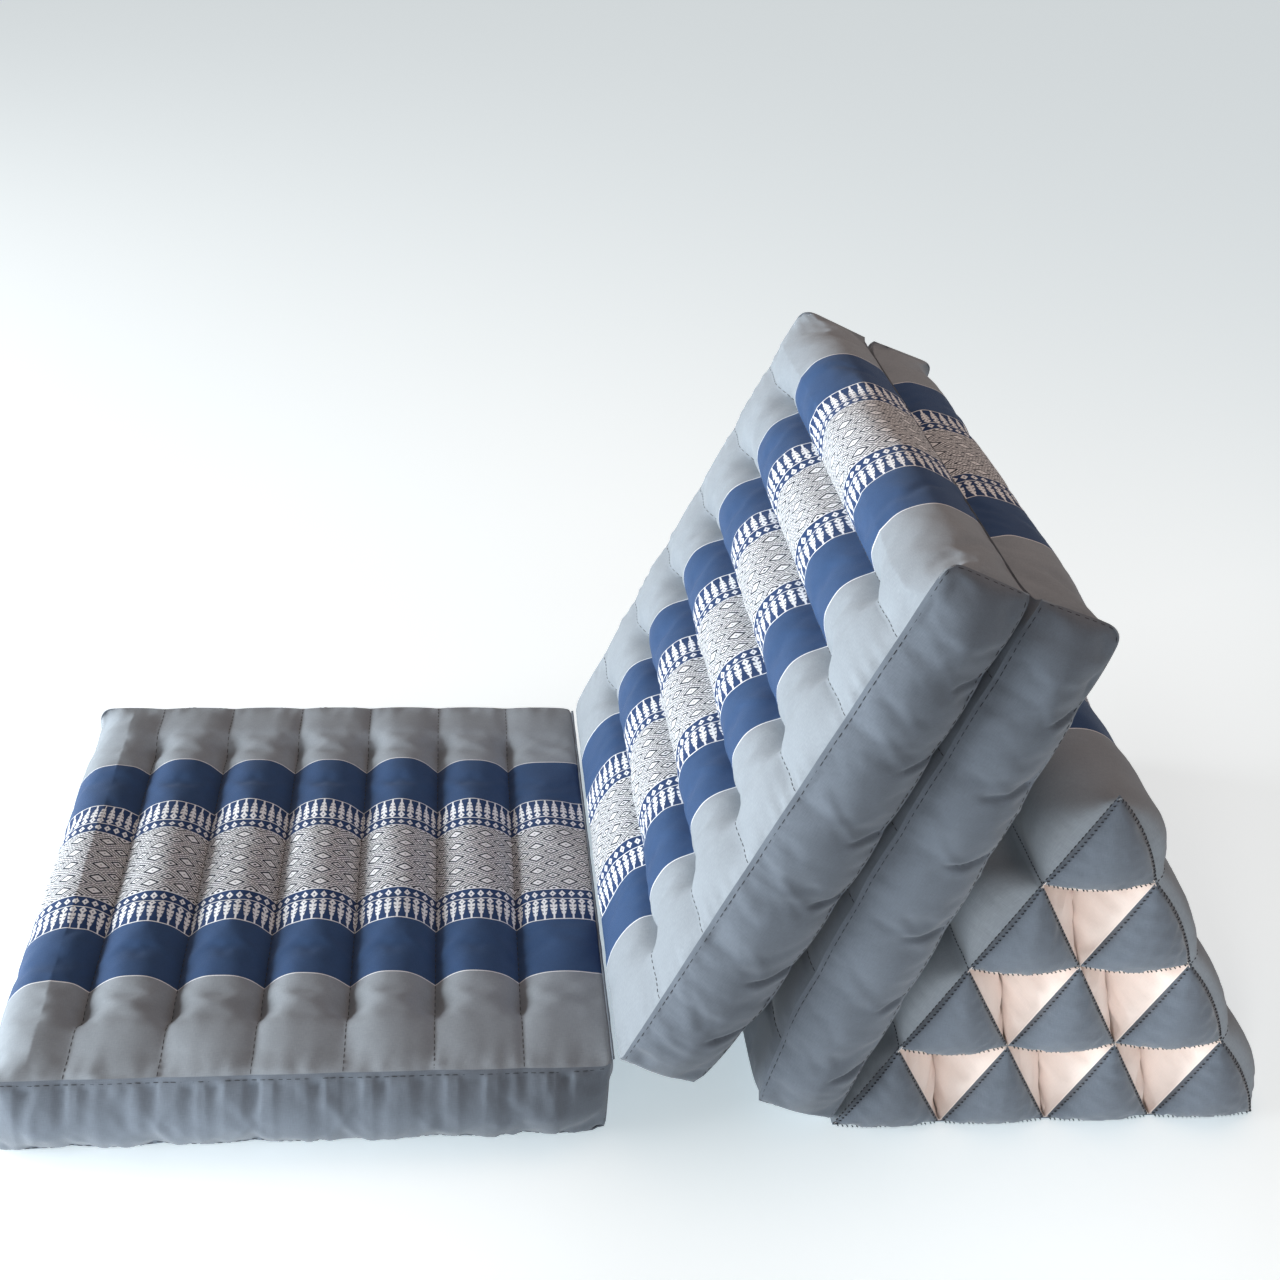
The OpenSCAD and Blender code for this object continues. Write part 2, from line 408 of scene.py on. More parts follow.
def woven_bands(tree, u, v):
    """Grey borders, blue bands, and the brocade strip with its rows of arrows, small diamonds and lattice."""
    soft = 0.3 * MM
    across = abs(v)
    lattice_edge, dots_edge, arrows_edge, blue_edge = (x * WIDTH for x in (0.0875, 0.1135, 0.1675, 0.2975))
    pitch = 8.3 * MM
    x = u.from_repeat(pitch) / (pitch / 2)

    # Lattice: pale cloth with rhombi drawn round two kinds of centre, half a repeat apart
    long_way, cross_way = 28 * MM, 17.9 * MM
    share_u = u.from_repeat(long_way) / (long_way / 2)
    share_v = across.from_repeat(cross_way) / (cross_way / 2)
    ring = share_u + share_v
    far_ring = ring * -1 + 2.0
    drawn = ring.within(0.42, 0.64, 0.05).higher(ring.under(0.08, 0.06) * 0.8)
    for low, high in ((0.80, 0.96), (1.14, 1.30)):
        drawn = drawn.higher(ring.within(low, high, 0.06) * 0.8)
    for low, high in ((0.34, 0.54), (-1.0, 0.14)):
        drawn = drawn.higher(far_ring.within(low, high, 0.05))
    dashes_across = ((u + across * 0.4).from_repeat(2.6 * MM) / (1.3 * MM)).under(0.42, 0.3)
    drawn = drawn.higher(dashes_across * ring.within(0.64, 1.5, 0.1) * 0.5)
    lattice = drawn.inverse()

    # Small diamonds with a dark centre
    middle = (lattice_edge + dots_edge) / 2
    size = x / 0.74 + abs(across - middle) / (4.3 * MM)
    dots = size.within(0.28, 1.0, 0.12)

    # Arrows: a stem with three pairs of leaves, and a diamond at its foot
    up = (across * -1 + arrows_edge) / (arrows_edge - dots_edge)
    leaf = (up - x * 0.06 - 0.20).math("MULTIPLY", 1 / 0.165).math("FRACT")
    reach = (up + 0.12).math("MULTIPLY", 1.1).lower(0.74)
    leaves = (x - reach).under(0, 0.1) * leaf.under(0.74, 0.15) * up.within(0.20, 0.72, 0.02)
    stem = x.under(0.20, 0.1) * up.under(0.78, 0.02)
    foot_size = x / 0.80 + abs(up - 0.85) / 0.16
    arrows = leaves.higher(stem).higher(foot_size.within(0.25, 1.0, 0.12))

    in_lattice = across.under(lattice_edge, soft)
    in_dots = across.within(lattice_edge, dots_edge, soft)
    in_arrows = across.within(dots_edge, arrows_edge, soft)
    in_brocade = across.under(arrows_edge, soft)
    in_blue = across.within(arrows_edge, blue_edge, soft)
    figure = (in_lattice * lattice).higher(in_dots * dots).higher(in_arrows * arrows)
    for edge in (lattice_edge, dots_edge, arrows_edge, blue_edge):
        figure = figure.higher(abs(across - edge).under(0.5 * MM, soft))
    ground = mixed(tree, in_blue, GREY, BLUE)
    ground = mixed(tree, in_brocade, ground, NAVY)
    ground = mixed(tree, in_lattice, ground, INK)
    return mixed(tree, figure, ground, CREAM), in_blue * figure.inverse()


# Each cloth and the material slot of the pieces that are cut from it
PATTERNED = cloth_material("patterned_cotton", woven_bands, sheen=0.08), "patterned_cloth"
PLAIN = cloth_material("plain_cotton", lambda tree, u, v: (GREY_DARK, None)), "plain_cloth"
LINING = cloth_material("pale_lining", lambda tree, u, v: (PALE, None), spread=0.05, sheen=0.1), "cell_lining"


def thread_material():
    material, tree, shader = new_material("dark_thread")
    place = add_node(tree, "TexCoord").outputs["Object"]
    grain = Field(tree, add_node(tree, "TexNoise", Vector=place, Scale=900).outputs["Fac"])
    feed_all(tree, shader, Base_Color=mixed(tree, grain, THREAD, tinted(THREAD, 2.5)), Sheen_Weight=0.2,
             Roughness=grain * 0.3 + 0.5, Normal=relief(tree, grain, 0.5, 0.1 * MM))
    return material


THREADS = thread_material(), "seam_cloth"


def finished(obj, cloth, body):
    obj.data.materials.append(cloth[0])
    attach(obj, body)


def cloth_piece(name, sheet, cloth, body, nodes, depth=CLOTH, sharp=True, lowest=-math.inf):
    """A padded piece from a sheet's points, faces and uv, and the CAD nodes that it stands for. Sharp keeps the
    edge of the cloth crisp."""
    points, faces, uv = thickened(*sheet, depth)
    points[:, 2] = np.maximum(points[:, 2], lowest)
    obj = new_mesh_object(name, points, faces, uv)
    if sharp:
        obj.data.set_sharp_from_angle(angle=math.radians(65))
    finished(obj, cloth, body)
    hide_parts(*nodes)


# --- threads ---
CAPSULE = ((-0.5, 0.45, -0.4), (-0.3, 1.0, 0.6), (0.3, 1.0, 0.6), (0.5, 0.45, -0.4))  # place, size, lift
TOPSTITCH = (4.6 * MM, 2.0 * MM, 0.30 * MM)  # length, gap and radius
WEDGE_TOPSTITCH = (2.6 * MM, 1.6 * MM, 0.45 * MM)
WHIPSTITCH = (2.4 * MM, 1.4 * MM, 0.55 * MM)


def dashes(lines, length, gap, radius, seed, wobble=0.3, slant=0.0):
    """Stitches along lines of (points, normals): small capsules laid on the cloth, joined in one mesh."""
    rng = np.random.default_rng(seed)
    sides = 6
    turn = np.arange(sides) * 2 * math.pi / sides
    points, faces = [], []
    for line, normal in lines:
        run = run_along(line)
        count = int(run[-1] / (length + gap))
        at = (np.arange(count) + 0.5) * run[-1] / max(count, 1)
        at = at + rng.uniform(-wobble, wobble, count) * gap
        centre, up = on_line(at, run, line), unit(on_line(at, run, normal))
        along = unit(on_line(at + length / 2, run, line) - on_line(at - length / 2, run, line))
        side = unit(np.cross(along, up))
        if slant:
            along = along * math.cos(slant) + side * math.sin(slant)
            side = np.cross(along, up)
        for n in range(count):
            first = len(points) * sides
            for share, size, lift in CAPSULE:
                middle = centre[n] + along[n] * share * length + up[n] * lift * radius
                around = np.outer(np.cos(turn), side[n]) + np.outer(np.sin(turn), up[n])
                points.append(middle + radius * size * around)
            last = first + (len(CAPSULE) - 1) * sides
            for start in range(first, last, sides):
                for m in range(sides):
                    a, b = start + m, start + (m + 1) % sides
                    faces.append([a, b, b + sides, a + sides])
            faces.append([first + m for m in range(sides)][::-1])
            faces.append([last + m for m in range(sides)])
    return np.concatenate(points), faces


def stitched(name, lines, body, stitch, **more):
    points, faces = dashes(lines, *stitch, **more)
    finished(new_mesh_object(name, points, faces), THREADS, body)


# --- panels ---
class Lattice:
    """The surface of a box of quads; ids[i, j, k] numbers its points."""

    def __init__(self, nx, ny, nz):
        self.n = nx, ny, nz
        shell = np.ones((nx + 1, ny + 1, nz + 1), bool)
        shell[1:-1, 1:-1, 1:-1] = False
        self.count = int(shell.sum())
        self.ids = ids = np.full(shell.shape, -1)
        ids[shell] = np.arange(self.count)
        self.top = grid_faces(ids[:, :, nz])
        self.bottom = grid_faces(ids[:, :, 0], flip=True)
        self.near = grid_faces(ids[:, 0, :])
        self.far = grid_faces(ids[:, ny, :], flip=True)
        self.left = grid_faces(ids[0], flip=True)
        self.right = grid_faces(ids[nx])
        self.all = np.concatenate([self.top, self.bottom, self.near, self.far, self.left, self.right])


def roll_arch(u):
    """Height share across one roll: 0 at its two grooves, 1 at its crest."""
    return 1 - np.abs(2 * u - 1) ** 2.1


def round_end():
    """Profile of a stuffed end in x and z, from the plain face up to the crest of the end roll."""
    middle_x, middle_z, power, foot_x = 42 * MM, 38 * MM, 1.95, 9.5 * MM
    reach = middle_x - 5.5 * MM     # the stuffing pushes it out by the rest
    low_z = middle_z / (1 - ((middle_x - foot_x) / reach) ** power) ** (1 / power)
    z = np.linspace(0, middle_z, 40)
    under = np.stack([middle_x - reach * (1 - ((middle_z - z) / low_z) ** power) ** (1 / power), z], axis=1)
    turn = np.linspace(0, math.pi / 2, 60)[1:]
    over = np.stack([middle_x - reach * np.cos(turn) ** (2 / power),
                     middle_z + (CREST_Z - middle_z) * np.sin(turn) ** (2 / power)], axis=1)
    return np.concatenate([under, over])


def along_profile(profile, start, end, steps):
    """Points at equal distances on a profile, between two shares of its length."""
    run = run_along(profile)
    return on_line(np.linspace(start, end, steps + 1) * run[-1], run, profile)


def rounded_corner(a, b, radius):
    """Distances from the two sides of a square corner, moved so that the corner is round."""
    p, q = radius - a, radius - b
    inside = (p > 0) & (q > 0)
    share = np.where(inside, np.maximum(p, q) / np.maximum(np.hypot(p, q), 1e-9), 1)
    return radius - p * share, radius - q * share


def with_round_corners(points):
    """The end seams turn over a radius beside the gussets, in side view and from above."""
    x, y, z = points.T.copy()
    near_side = gauss(HALF - np.minimum(np.abs(y), HALF), 16 * MM)
    for end, height, back, radius in ((0, SEAM_Z, CORNER_IN, 12 * MM), (0, 0, LOW_CORNER_IN, 2.5 * MM),
                                      (LENGTH, 0, CORNER_IN, 12 * MM)):
        way_x, way_z = (1 if end == 0 else -1), (1 if height == 0 else -1)
        a, b = rounded_corner((x - end) * way_x - back, (z - height) * way_z, radius)
        x = between(x, end + (a + back) * way_x, near_side)
        z = between(z, height + b * way_z, near_side)
    for end, radius in ((0, 12 * MM), (LENGTH, 8 * MM)):
        way_x = 1 if end == 0 else -1
        a, b = rounded_corner((x - end) * way_x, HALF - np.abs(y), radius)
        x, y = end + a * way_x, np.sign(y) * (HALF - b)
    return np.stack([x, y, z], axis=1)


def panel_rows(in_middle, over, foot_x):
    """The patterned and the plain face, row by row along x. Over is the end roll's profile from the end up."""
    # Grooves run shallow beside the gusset, and drop at a dimple to their full depth
    edge_z = SEAM_Z + 2 * MM
    crest_z = edge_z + (CREST_Z - edge_z) * shoulder(FROM_SIDE, 60 * MM)
    shallow = crest_z - 1 * MM - 4.5 * MM * smoothstep(FROM_SIDE, 0, 25 * MM)
    dimple = 3.5 * MM * gauss(FROM_SIDE - 76 * MM, 11 * MM)
    groove_z = between(shallow, GROOVE_Z, smoothstep(FROM_SIDE, 48 * MM, 76 * MM)) - dimple
    hinge_z = SEAM_Z + 3 * MM * in_middle
    dip = 4.5 * MM * smoothstep(FROM_SIDE, 5 * MM, 60 * MM)     # of the plain face at its grooves
    nx = ROLLS * PER_ROLL
    top, low = np.zeros((2, nx + 1, ACROSS + 1, 3))
    for i in range(nx + 1):
        r = min(i // PER_ROLL, ROLLS - 1)
        u = i / PER_ROLL - r
        arch = roll_arch(u)
        first, last = r == 0, r == ROLLS - 1
        x = between(CORNER_IN if first else JOINTS[r], LENGTH - 0.4 * MM if last else JOINTS[r + 1], u)
        z = between(between(SEAM_Z if first else groove_z, hinge_z if last else groove_z, u), crest_z, arch)
        if i < len(over):
            x = between(x, over[i, 0], in_middle)
            z = between(z, over[i, 1] * crest_z / CREST_Z, in_middle)
        bow = 1.5 * MM * arch * np.exp(-FROM_SIDE / (20 * MM)) * np.sign(Y)
        top[i] = np.stack([np.broadcast_to(x, Y.shape), Y + bow, z], axis=1)
        x = between(between(LOW_CORNER_IN, foot_x, in_middle) if first else JOINTS[r],
                    LENGTH - (3 + 8 * in_middle) * MM if last else JOINTS[r + 1], u)
        raised = between(END_DIP if first else dip, END_DIP if last else dip, u) * (1 - arch)
        edge = (SEAM_LOW + 1.5 * MM * (1 - arch)) * (1 - shoulder(FROM_SIDE, 40 * MM))
        low[i] = np.stack([np.broadcast_to(x, Y.shape), Y + 0.7 * bow, raised + edge], axis=1)
    return top, low


def panel_surface():
    """A panel before it is inflated: round end at x = 0, hinge edge at the top of the end x = LENGTH."""
    nx, ny, nz = ROLLS * PER_ROLL, ACROSS, UP
    lattice = Lattice(nx, ny, nz)
    ids = lattice.ids
    # At the corners the ends are square, and in between they are stuffed round
    in_middle = quarter_round(FROM_SIDE, 38 * MM)
    profile = round_end()
    split = 0.56                    # share of the profile that is the end's face, and not the roll's
    face = along_profile(profile, 0, split, nz)
    top, low = panel_rows(in_middle, along_profile(profile, split, 1, PER_ROLL // 2), face[0, 0])
    points = np.zeros((lattice.count, 3))
    points[ids[:, :, nz]] = top
    points[ids[:, :, 0]] = low

    w = np.arange(1, nz) / nz
    swell = (1 - (2 * w - 1) ** 2) ** 0.95

    def wall(row_low, row_top):
        return between(row_low[:, None], row_top[:, None], w[None, :, None])

    steps_in = np.minimum(np.arange(nx + 1), nx - np.arange(nx + 1))
    tight = np.minimum(1, steps_in / 8) ** 0.6      # the gussets are held in at their ends
    for j, outward in ((0, -1), (ny, 1)):
        gusset = wall(low[:, j], top[:, j])
        gusset[:, :, 1] += outward * GUSSET_PUFF * tight[:, None] * swell
        points[ids[:, j, 1:nz]] = gusset
    end = wall(low[0], top[0])
    stuffed = np.stack([np.broadcast_to(face[1:-1, 0], end.shape[:2]), end[:, :, 1],
                        face[1:-1, 1] + (top[0, :, 2] - face[-1, 1])[:, None] * w], axis=2)
    points[ids[0, 1:ny, 1:nz]] = between(end, stuffed, in_middle[:, None, None])[1:ny]
    end = wall(low[nx], top[nx])
    end[:, :, 0] += 1.5 * MM * in_middle[:, None] * swell
    points[ids[nx, 1:ny, 1:nz]] = end[1:ny]
    points = with_round_corners(points)

    # The middle line gives each point its length along the cloth
    over_end, over_hinge = ids[0, :, :nz], ids[nx, :, nz - 1::-1]
    mid = ny // 2
    run = run_along(points[np.concatenate([over_end[mid], ids[:, mid, nz], over_hinge[mid]])])
    uv = np.zeros((lattice.count, 2))
    uv[over_end, 0] = run[:nz]
    uv[ids[:, :, nz], 0] = run[nz:nz + nx + 1][:, None]
    uv[over_hinge, 0] = run[nz + nx + 1:]
    for part in (ids[0], ids[nx], ids[:, :, nz].T):
        uv[part, 1] = Y[:, None]

    pins = np.zeros(lattice.count)
    for held in (ids[PER_ROLL:nx:PER_ROLL, :, nz], ids[::PER_ROLL, :, 0], ids[nx, :, nz],
                 ids[:, [0, ny]][:, :, [0, nz]], ids[[0, nx]][:, [0, ny]]):
        pins[held] = 1
    return lattice, points, uv, pins


def stuffed_panel():
    """The cloth that the three panels share: lattice, points at rest, uv, pins and inflated points."""
    lattice, rest, uv, pins = panel_surface()
    soft = inflated(rest, lattice.all, pins, cap=5 * MM)
    soft[:, 0] = np.clip(soft[:, 0], 0.2 * MM, LENGTH - 0.2 * MM)
    soft[:, 2] = np.maximum(soft[:, 2], 0)
    # The rolls are slacker beside the gussets
    beside = smoothstep(HALF - np.abs(rest[:, 1]), 20 * MM, 85 * MM)
    above = rest[:, 2] > SEAM_Z - 1 * MM
    soft[above, 2] = between(rest[:, 2], soft[:, 2], 0.35 + 0.65 * beside)[above]
    return lattice, rest, uv, pins, soft


class Sheet:
    """One cloth cut from a lattice: its points after subdivision, and where the lattice's points are in it."""

    def __init__(self, points, faces, uv, levels=1, folds=()):
        used, faces = np.unique(faces, return_inverse=True)
        faces = faces.reshape(-1, 4)
        self.where = {int(v): n for n, v in enumerate(used)}
        self.points, self.faces, self.uv = points[used], faces, uv[used]
        if levels:
            folds = [np.array(self.at(f)) for f in folds]
            self.points, self.faces, self.uv = subdivided(self.points, faces, self.uv, levels, folds)

    def at(self, ids):
        return [self.where[int(v)] for v in ids]

    def push(self, height):
        self.points = self.points + vertex_normals(self.points, self.faces) * height[:, None]

    def line(self, ids, beside=None, share=0.0):
        """Points and normals along a row of the lattice's points, or between it and the row beside it."""
        normals = vertex_normals(self.points, self.faces)
        a, b = self.at(ids), self.at(ids if beside is None else beside)
        return between(self.points[a], self.points[b], share), between(normals[a], normals[b], share)


def placed(points, origin, angle, mirror):
    """Panel coordinates to the row frame."""
    x, y, z = points.T
    if mirror:
        x = LENGTH - x
    c, s = math.cos(angle), math.sin(angle)
    return np.stack([origin[0] + c * x - s * z, y, origin[1] + s * x + c * z], axis=1)


def pull_creases(x, z, seed, start):
    """Slanting folds that run into the side from each groove; start is the height that they start from."""
    rng = np.random.default_rng(seed)
    height = np.zeros_like(x)
    for joint in JOINTS[1:-1]:
        at = joint + rng.uniform(-6, 6) * MM
        lean, reach, size = rng.uniform(0.25, 0.7), rng.uniform(26, 42) * MM, rng.uniform(0.7, 1.25)
        far = np.abs(z - start)
        off = x - at - lean * far + 3 * MM * (far / reach) ** 2
        ridge, valley = 0.7 * gauss(off - 6 * MM, 5 * MM), 2.0 * gauss(off, 2.1 * MM)
        height += 1.5 * MM * size * smoothstep(reach - far, 0, 14 * MM) * (ridge - valley)
    return height


def make_gusset(points, faces, rest, seed, far, pucker_share, crease_from):
    """A side strip: puckered along its seams, slack between them, and creased where the grooves pull at it."""
    shift = 0.2 * far               # the two strips come from different places of the cloth
    sheet = Sheet(points, faces, np.stack([rest[:, 0], rest[:, 2] + shift], axis=1), levels=2)
    x, z = sheet.uv[:, 0], sheet.uv[:, 1] - shift
    to_top, to_low = SEAM_Z - z, z - SEAM_LOW
    held = (smoothstep(x, 0, 12 * MM) * smoothstep(LENGTH - x, 0, 12 * MM)
            * smoothstep(np.minimum(to_top, to_low), 0, 4 * MM))
    folds = waves(seed + 5 + far, 7, 12 * MM, 30 * MM)(x, z * 0.08)
    along_seams = np.exp(-to_top / (17 * MM)) + 0.7 * np.exp(-to_low / (15 * MM))
    height = np.minimum(folds, 0.45) * 1.5 * MM * along_seams * pucker_share
    height += np.minimum(waves(seed + 9 + far, 5, 45 * MM, 90 * MM)(x + 0.5 * z, z * 0.2), 0.3) * 0.8 * MM
    if crease_from is not None:
        height += pull_creases(x, z, seed + far, crease_from)
    sheet.push(held * height)
    return sheet


def make_panel(name, seed, shape, origin, angle, mirror=False, crest_share=1.0, pucker_share=0.6,
               crease_from=None, plain_puff=0):
    """A panel's cloths and stitches. Crest_share presses its rolls flatter, pucker_share scales the folds along
    its side seams, crease_from is the side seam that pulls creases, and plain_puff swells its plain face."""
    lattice, rest, uv, pins, soft = shape
    nx, ny, nz = lattice.n
    ids = lattice.ids
    points = soft.copy()
    # The last rolls are lower, which leaves room to fold the hinge
    above = points[:, 2] > SEAM_Z
    share = crest_share * (1 - 0.45 * smoothstep(points[:, 0], LENGTH - 150 * MM, LENGTH - 50 * MM))
    points[above, 2] = SEAM_Z + ((points[:, 2] - SEAM_Z) * share)[above]
    # Uneven kapok
    lumps = waves(seed, 9, 55 * MM, 160 * MM)(points[:, 0], points[:, 1]) * 1.1 * MM * (1 - pins)
    swell = np.minimum(plain_puff, 0.042 * rest[:, 0]) * smoothstep(LENGTH - rest[:, 0], 0, 110 * MM)
    points[:, 2] -= swell * np.clip(1 - rest[:, 2] / SEAM_Z, 0, 1)
    face = ids[1:nx, 1:ny, nz]
    points[face, 2] += lumps[face]
    points = placed(points, origin, angle, mirror)
    way = slice(None, None, -1 if mirror else 1)

    grooves = range(PER_ROLL, nx, PER_ROLL)
    cover = Sheet(points, np.concatenate([lattice.top, lattice.left, lattice.right])[:, way], uv,
                  folds=[ids[i, :, nz] for i in grooves])
    side = HALF - np.abs(cover.uv[:, 1])
    gathers = waves(seed + 1, 7, 11 * MM, 24 * MM)(cover.uv[:, 0], cover.uv[:, 1] * 0.15)
    cover.push(gathers * 0.8 * MM * np.exp(-side / (15 * MM)) * smoothstep(side, 0, 3 * MM))
    base = Sheet(points, lattice.bottom[:, way], rest[:, :2], levels=0)
    near, far = (make_gusset(points, faces[:, way], rest, seed, far, pucker_share, crease_from)
                 for faces, far in ((lattice.near, 0), (lattice.far, 1)))
    fills = [f"fill_{n}" for n in range(1, ROLLS + 1)]
    for label, sheet, cloth, nodes in (("cover", cover, PATTERNED, ["patterned_cover", "partitions"] + fills),
                                       ("base_cover", base, PLAIN, ["plain_cover"]),
                                       ("near_side", near, PLAIN, ["near_gusset"]),
                                       ("far_side", far, PLAIN, ["far_gusset"])):
        cloth_piece(f"{name}_{label}", (sheet.points, sheet.faces, sheet.uv), cloth, name,
                    [f"{name}_{node}" for node in nodes])

    sides = ((near, 0), (far, ny))
    lines = [g.line(ids[1:nx, j, nz], ids[1:nx, j, nz - 1], 0.45) for g, j in sides]
    lines += [g.line(ids[1:nx, j, 0], ids[1:nx, j, 1], 0.4) for g, j in sides]
    lines += [g.line(ids[i, j, 1:nz], ids[i + step, j, 1:nz], 0.35)
              for g, j in sides for i, step in ((0, 1), (nx, -1))]
    lines += [cover.line(ids[i, :, nz]) for i in grooves]
    stitched(f"{name}_topstitch", lines, name, TOPSTITCH, seed=seed)
    lines = [base.line(ids[i, :, 0]) for i in grooves]
    stitched(f"{name}_base_stitch", lines, name, TOPSTITCH, seed=seed + 50)


h1, h2, h3 = (HINGE[n] for n in ("seat_to_back", "back_to_prop", "prop_to_wedge"))
lean = math.atan2(THICK, LENGTH)
back_angle = math.atan2(*(h2 - h1)[::-1]) + lean
prop_angle = math.atan2(*(h3 - h2)[::-1]) - lean
back_origin = h1 + THICK * np.array([math.sin(back_angle), -math.cos(back_angle)])

shape = stuffed_panel()
make_panel("seat", 11, shape, h1 - (LENGTH, h1[1]), 0.0, crest_share=0.9, pucker_share=1.8)
make_panel("back", 23, shape, back_origin, back_angle, mirror=True, crease_from=SEAM_LOW, plain_puff=PLAIN_PUFF)
make_panel("prop", 37, shape, h2, prop_angle, crease_from=SEAM_Z, plain_puff=PLAIN_PUFF)


# --- wedge ---
WEDGE_X = h3[0]
WEDGE_BASE = 0.355
WEDGE_H = 0.320
ROWS = 4
CELL_B = WEDGE_BASE / ROWS
ROW_H = WEDGE_H / ROWS
APEX = np.array([WEDGE_BASE / 2, WEDGE_H])
SLOPE = APEX / np.linalg.norm(APEX)
FRONT_PUFF = (30, 18, 1.5)        # mm, how far the rolls under the ridge's stand out, from the top down
REAR_PUFF = (19, 19, 22)
REAR_SAG = 6 * MM                 # how far a cell's outer edge bows out at the wedge's ends, on the rear slope
POCKET_SAG = 5 * MM               # and its lower edge, over a pocket
POCKET_RIM = 4.5 * MM             # how far the lining shows under that edge
LINING_PUFF = 21.5 * MM           # how far a wall would swell into a pocket with no wall in its way
CAP_PUFF = 17 * MM                # how far the middle of a cell's end stands out
CAP_ROUND = 0.65
WEDGE_PER_ROW, CELL_STEPS, CAP_STEPS = 12, 22, 22

# A point on each outer side of the wedge, the way in from it, and how far the linings keep inside it
OUTER_LINES = (((0, 0), (SLOPE[1], -SLOPE[0]), 7 * MM),
               ((WEDGE_BASE, 0), (-SLOPE[1], -SLOPE[0]), 3 * MM),
               ((0, 0), (0, 1), 5 * MM))
# The lower, right and left side of a cell: its corners, and half the angle that a pocket beside it has at each
CELL_SIDES = ((0, 1, 30.5, 30.5), (1, 2, 29.0, 30.5), (2, 0, 30.5, 29.0))


def cell_corner(row, c, n):
    """Lower left, lower right or top corner of a cell, as x and z from the wedge's lower front edge."""
    return np.array([WEDGE_BASE / 2 - (row + 1) * CELL_B / 2 + (c + (0, 1, 0.5)[n]) * CELL_B,
                     WEDGE_H - (row + (1, 1, 0)[n]) * ROW_H])


def edge_sag(row, c, side):
    """How far an edge of a cell's end bows out. Sides are 0 lower, 1 right and 2 left."""
    if side == 0:
        return POCKET_SAG if row < ROWS - 1 else 0
    return REAR_SAG if side == 1 and c == row else 0


def outward(edge):
    """The way out of a cell from an edge that runs counterclockwise."""
    return np.array([edge[1], -edge[0]]) / np.linalg.norm(edge)


def wedge_points(side_view, y, lowest):
    """Points of the row frame from places in the wedge's side view, none under lowest."""
    return np.stack([side_view[..., 0] + WEDGE_X, np.broadcast_to(y, side_view.shape[:-1]),
                     np.maximum(side_view[..., 1], lowest)], axis=-1)


def bezier(p0, p1, p2, p3, t):
    t = t[:, None]
    return p0 * (1 - t) ** 3 + 3 * p1 * t * (1 - t) ** 2 + 3 * p2 * t * t * (1 - t) + p3 * t ** 3


def slope_line(front):
    """One slope in side view from its foot up, as at the wedge's ends and as where it is stuffed."""
    way, raised = (-1, 0) if front else (1, 15 * MM)
    u = np.arange(WEDGE_PER_ROW) / WEDGE_PER_ROW
    arch = roll_arch(u)
    straight, swollen = [], []
    for row in range(ROWS - 1, -1, -1):
        a, b = (cell_corner(row, 0 if front else row, n) for n in (0 if front else 1, 2))
        line = a + (b - a) * u[:, None]
        out = outward(b - a) * way
        bottom = row == ROWS - 1
        if row:
            pull = 0 if bottom else 3.5 * MM * gauss(np.minimum(u, 1 - u), 0.05)
            joint = raised * (1 - arch) * (smoothstep(u, 0, 0.6) if bottom else 1)
            puff = (FRONT_PUFF if front else REAR_PUFF)[row - 1] * MM
            swollen.append(line + out * (puff * arch + joint - pull)[:, None])
        else:
            swollen.append(bezier(a + out * (raised - 3.5 * MM), a + np.array([way * 19, 40]) * MM,
                                  APEX + np.array([way * 36, -10]) * MM, APEX - [0, 10 * MM], u))
        if not front:
            line = line + out * (REAR_SAG * 4 * u * (1 - u))[:, None]
        straight.append(line)
    return np.concatenate(straight), np.concatenate(swollen)


def make_wedge_cover():
    """The one cloth over both slopes: four rolls on each, the top two run together over the ridge."""
    front, rear = slope_line(True), slope_line(False)
    flat = np.concatenate([front[0], [APEX], rear[0][::-1]])
    full = np.concatenate([front[1], [APEX - [0, 10 * MM]], rear[1][::-1]])
    stuffed = quarter_round(FROM_SIDE, 30 * MM)[None, :, None]
    points = wedge_points(between(flat[:, None], full[:, None], stuffed), Y, 0.3 * MM)
    ids = np.arange(len(flat) * len(Y)).reshape(len(flat), len(Y))
    run = run_along(points[:, len(Y) // 2])
    uv = np.stack([np.repeat(run, len(Y)), np.tile(Y, len(flat))], axis=1)
    cover = Sheet(points.reshape(-1, 3), grid_faces(ids), uv)
    u, v = cover.uv.T
    side = HALF - np.abs(v)
    gathers = waves(71, 7, 10 * MM, 22 * MM)(u, v * 0.2)
    lumps = waves(72, 8, 50 * MM, 120 * MM)(u, v)
    cover.push(gathers * 0.9 * MM * np.exp(-side / (16 * MM)) * smoothstep(side, 0, 4 * MM)
               + np.minimum(lumps, 0.8) * 1.2 * MM * smoothstep(side, 0, 30 * MM))
    fills = [f"wedge_fill_{n}" for n in range(1, 11)]
    cloth_piece("wedge_cover", (cover.points, cover.faces, cover.uv), PATTERNED, "wedge",
                ["wedge_patterned_cover"] + fills, lowest=0.2 * MM)
    ridge = ROWS * WEDGE_PER_ROW
    joints = [i for i in range(WEDGE_PER_ROW, 2 * ridge, WEDGE_PER_ROW) if i != ridge]
    lines = [cover.line(ids[:, j]) for j in (0, ACROSS)] + [cover.line(ids[i]) for i in joints]
    stitched("wedge_topstitch", lines, "wedge", WEDGE_TOPSTITCH, seed=5)


